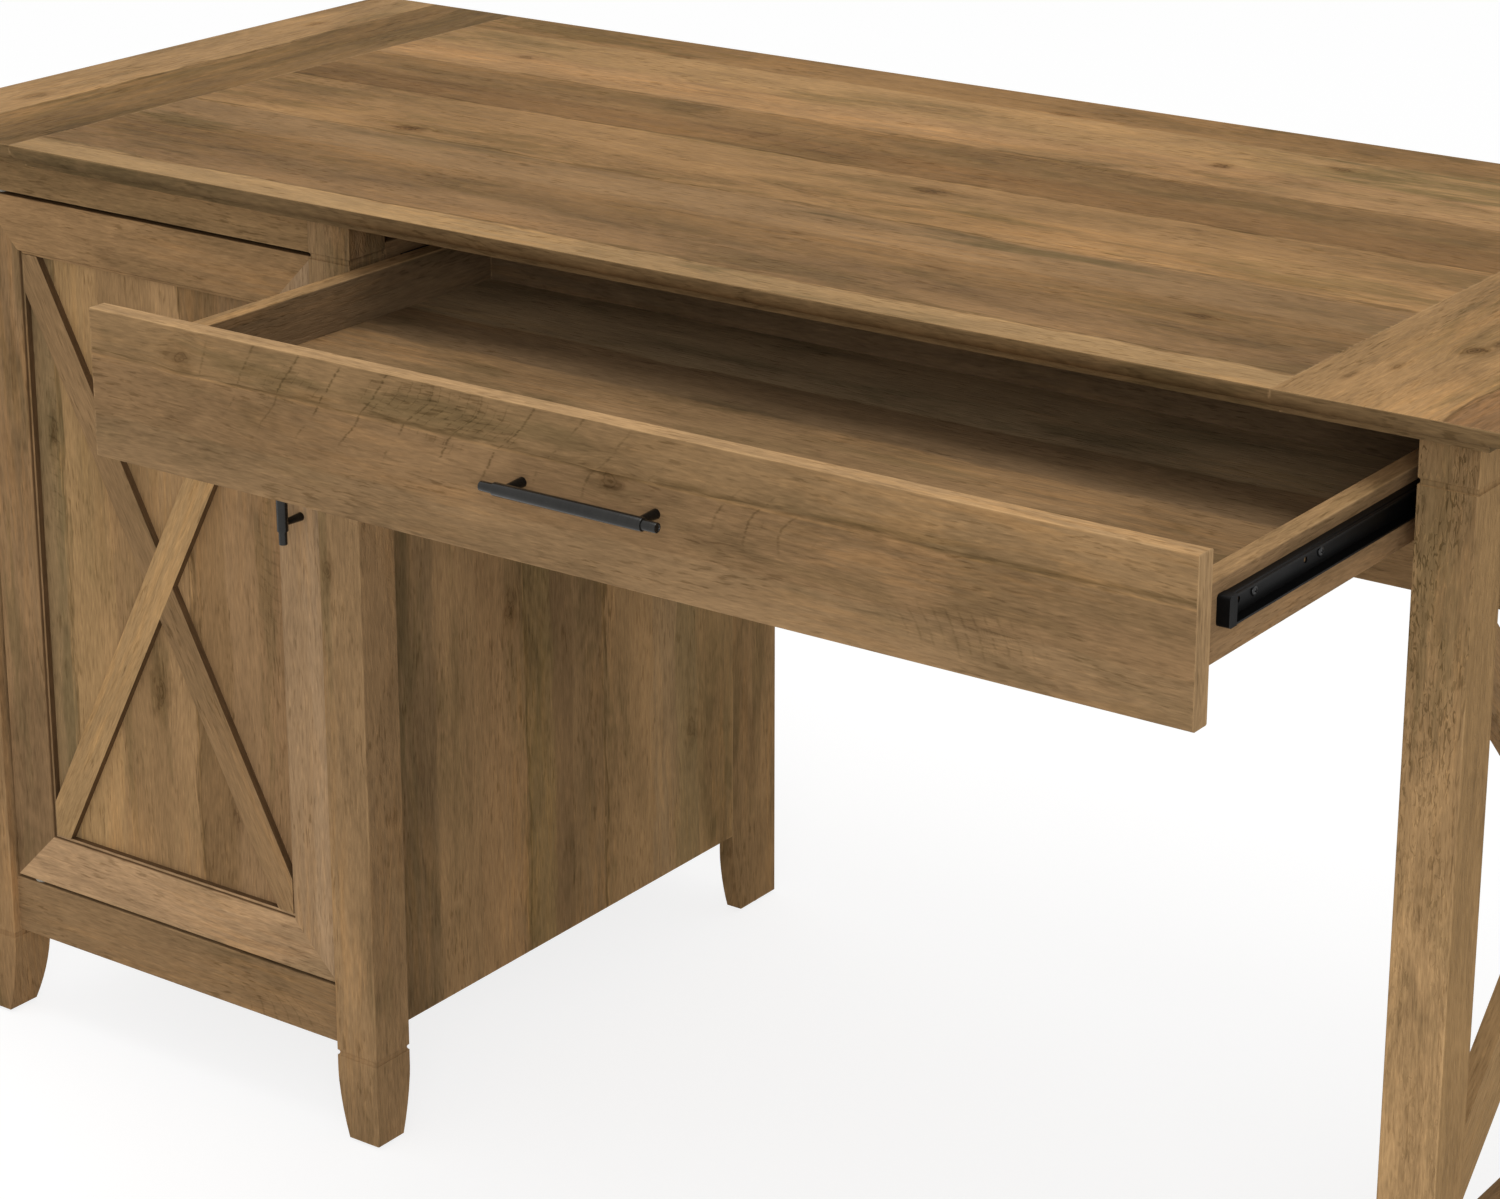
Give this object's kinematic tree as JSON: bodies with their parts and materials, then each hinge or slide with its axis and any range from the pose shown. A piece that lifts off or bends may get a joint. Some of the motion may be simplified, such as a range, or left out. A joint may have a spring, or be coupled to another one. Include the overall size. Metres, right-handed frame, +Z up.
{
  "type": "single-pedestal desk",
  "caption": "Straight farmhouse desk with a planked top, an inset X-braced cupboard door, a wide drawer on ball-bearing slides and an X-braced end frame.",
  "frame": {"origin": "on the floor, under the middle of the whole box with the drawer out: the middle of the desktop's length, and half of the depth from the drawer pull to the desktop's rear edge", "axes": "+X along the desk to the user's right, away from the pedestal; -Y towards the user, where the drawer comes out; +Z up"},
  "size_m": [1.371, 0.8534, 0.762],
  "materials": {
    "top_oak": "satin printed oak laminate, planks lengthwise",
    "frame_oak": "satin weathered oak, grain along each member",
    "door_oak": "satin weathered oak, grain along each member",
    "drawer_oak": "satin oak with cross saw marks on the front",
    "case_oak": "matt oak laminate, plain inside face",
    "black_pull": "satin black",
    "black_steel": "semi-gloss black zinc",
    "zinc": "zinc plated",
    "ball_steel": "polished",
    "black_plastic": "moulded",
    "white_nylon": "moulded"
  },
  "bodies": {
    "desk": {"desktop_field": "top_oak", "breadboard_left": "top_oak", "breadboard_right": "top_oak", "pedestal_left_post": "frame_oak", "pedestal_right_post": "frame_oak", "pedestal_left_panel": "frame_oak", "pedestal_right_panel": "frame_oak", "pedestal_left_rear_leg": "frame_oak", "pedestal_right_rear_leg": "frame_oak", "pedestal_back_panel": "case_oak", "pedestal_floor": "case_oak", "pedestal_top_rail": "frame_oak", "pedestal_bottom_rail": "frame_oak", "adjustable_shelf": "case_oak", "shelf_pins": "zinc", "right_front_leg": "frame_oak", "right_rear_leg": "frame_oak", "right_top_rail": "frame_oak", "right_bottom_rail": "frame_oak", "end_brace_long": "frame_oak", "end_brace_upper": "frame_oak", "end_brace_lower": "frame_oak", "modesty_panel": "frame_oak", "slide_cleat": "case_oak", "slide_outer_left": "black_steel", "slide_outer_right": "black_steel", "desk_slide_screws": "zinc", "hinge_pins": "zinc", "magnet_catch": "white_nylon", "top_brackets": "zinc", "foot_glides": "white_nylon"},
    "drawer": {"slide_inner_left": "black_steel", "slide_inner_right": "black_steel", "slide_bumpers": "black_plastic", "drawer_slide_screws": "zinc", "drawer_front": "drawer_oak", "drawer_left_side": "drawer_oak", "drawer_right_side": "drawer_oak", "drawer_back": "drawer_oak", "drawer_bottom": "case_oak", "drawer_pull_bar": "black_pull", "drawer_pull_posts": "black_pull", "drawer_pull_screws": "zinc"},
    "door": {"door_hinge_stile": "door_oak", "door_pull_stile": "door_oak", "door_top_rail": "door_oak", "door_bottom_rail": "door_oak", "door_panel": "door_oak", "door_brace_long": "door_oak", "door_brace_upper": "door_oak", "door_brace_lower": "door_oak", "door_pull_bar": "black_pull", "door_pull_posts": "black_pull", "door_pull_screws": "zinc", "hinge_bushes": "white_nylon", "strike_plate": "zinc"},
    "left_cage": {"ball_cage_left": "zinc", "slide_balls_left": "ball_steel"},
    "right_cage": {"ball_cage_right": "zinc", "slide_balls_right": "ball_steel"}
  },
  "joints": [
    {"name": "drawer_slide", "type": "slide", "parent": "desk", "child": "drawer", "axis": [0, 1, 0], "range_m": [0, 0.267]},
    {"name": "left_cage_roll", "type": "slide", "parent": "desk", "child": "left_cage", "axis": [0, 1, 0], "range_m": [0, 0.1335]},
    {"name": "right_cage_roll", "type": "slide", "parent": "desk", "child": "right_cage", "axis": [0, 1, 0], "range_m": [0, 0.1335]},
    {"name": "door_hinge", "type": "hinge", "parent": "desk", "child": "door", "pos_m": [-0.595, -0.1263, 0.41825], "axis": [0, 0, 1], "range_deg": [-105, 0]}
  ],
  "couplings": [
    {"joint": "left_cage_roll", "follows": "drawer_slide", "ratio": 0.5},
    {"joint": "right_cage_roll", "follows": "drawer_slide", "ratio": 0.5}
  ]
}
